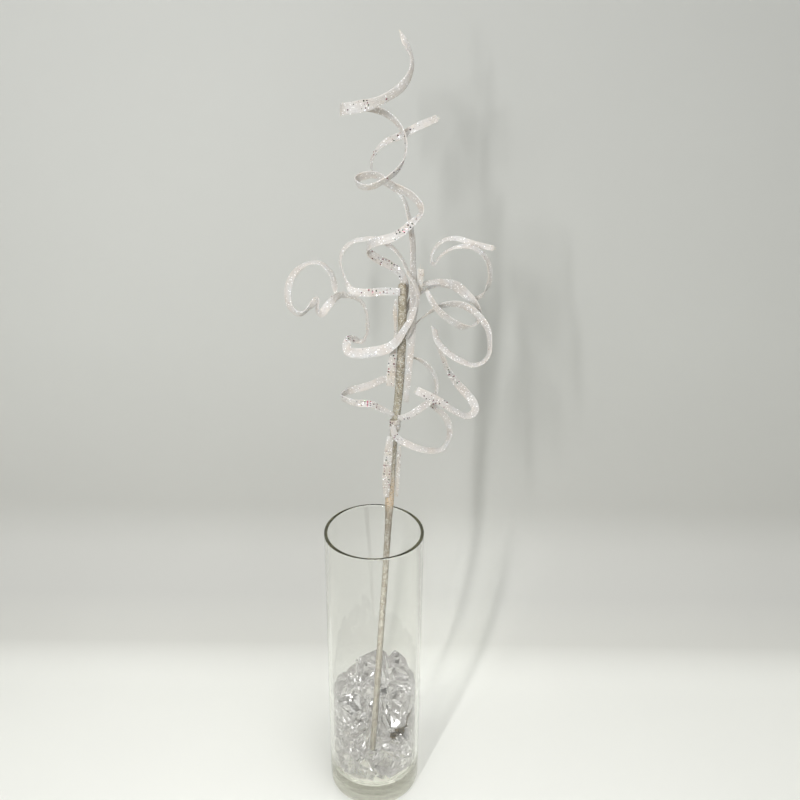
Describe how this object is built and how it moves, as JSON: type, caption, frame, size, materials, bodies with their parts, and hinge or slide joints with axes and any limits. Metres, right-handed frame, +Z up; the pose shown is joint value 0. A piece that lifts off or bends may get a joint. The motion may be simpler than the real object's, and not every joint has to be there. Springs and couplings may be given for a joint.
{
  "type": "curly willow branch",
  "caption": "Dark stick with bleached, glittered curly willow strips in hoops and coils, standing in a clear glass cylinder vase held by acrylic chunks.",
  "frame": {"origin": "centre of the vase's flat underside", "axes": "+Z up along the vase's axis, +X to the viewer's right, +Y away from the viewer"},
  "size_m": [0.1656, 0.09, 0.7139],
  "materials": {
    "glass": "clear, polished",
    "acrylic": "clear, glossy",
    "bark": "dry bark",
    "strip_wood": "bleached, satin, lightly glittered",
    "laid_wood": "bleached, glittered",
    "dry_sprig": "dry, matte"
  },
  "bodies": {
    "root": {"vase": "glass", "stick": "bark", "wrapping": "laid_wood", "leader_curl": "strip_wood", "second_curl": "strip_wood", "left_hoop": "strip_wood", "left_coil": "strip_wood", "left_bow": "strip_wood", "right_coil": "strip_wood", "right_long_spiral": "strip_wood", "top_ring": "strip_wood", "low_arc": "strip_wood", "low_hoop": "strip_wood", "laid_strip_top_left": "laid_wood", "laid_strip_front_left": "laid_wood", "laid_strip_right": "laid_wood", "frayed_spur": "laid_wood", "dried_sprig": "dry_sprig", "acrylic_chunk_01": "acrylic", "acrylic_chunk_02": "acrylic", "acrylic_chunk_03": "acrylic", "acrylic_chunk_04": "acrylic", "acrylic_chunk_05": "acrylic", "acrylic_chunk_06": "acrylic", "acrylic_chunk_07": "acrylic", "acrylic_chunk_08": "acrylic", "acrylic_chunk_09": "acrylic", "acrylic_chunk_10": "acrylic", "acrylic_chunk_11": "acrylic", "acrylic_chunk_12": "acrylic", "acrylic_chunk_13": "acrylic", "acrylic_chunk_14": "acrylic", "acrylic_chunk_15": "acrylic", "acrylic_chunk_16": "acrylic", "acrylic_chunk_17": "acrylic", "acrylic_chunk_18": "acrylic", "acrylic_chunk_19": "acrylic", "acrylic_chunk_20": "acrylic", "acrylic_chunk_21": "acrylic", "acrylic_chunk_22": "acrylic", "acrylic_chunk_23": "acrylic", "acrylic_chunk_24": "acrylic", "acrylic_chunk_25": "acrylic", "acrylic_chunk_26": "acrylic", "acrylic_chunk_27": "acrylic", "acrylic_chunk_28": "acrylic", "acrylic_chunk_29": "acrylic", "acrylic_chunk_30": "acrylic", "acrylic_chunk_31": "acrylic", "acrylic_chunk_32": "acrylic", "acrylic_chunk_33": "acrylic", "acrylic_chunk_34": "acrylic", "acrylic_chunk_35": "acrylic", "acrylic_chunk_36": "acrylic", "acrylic_chunk_37": "acrylic", "acrylic_chunk_38": "acrylic"}
  },
  "joints": []
}
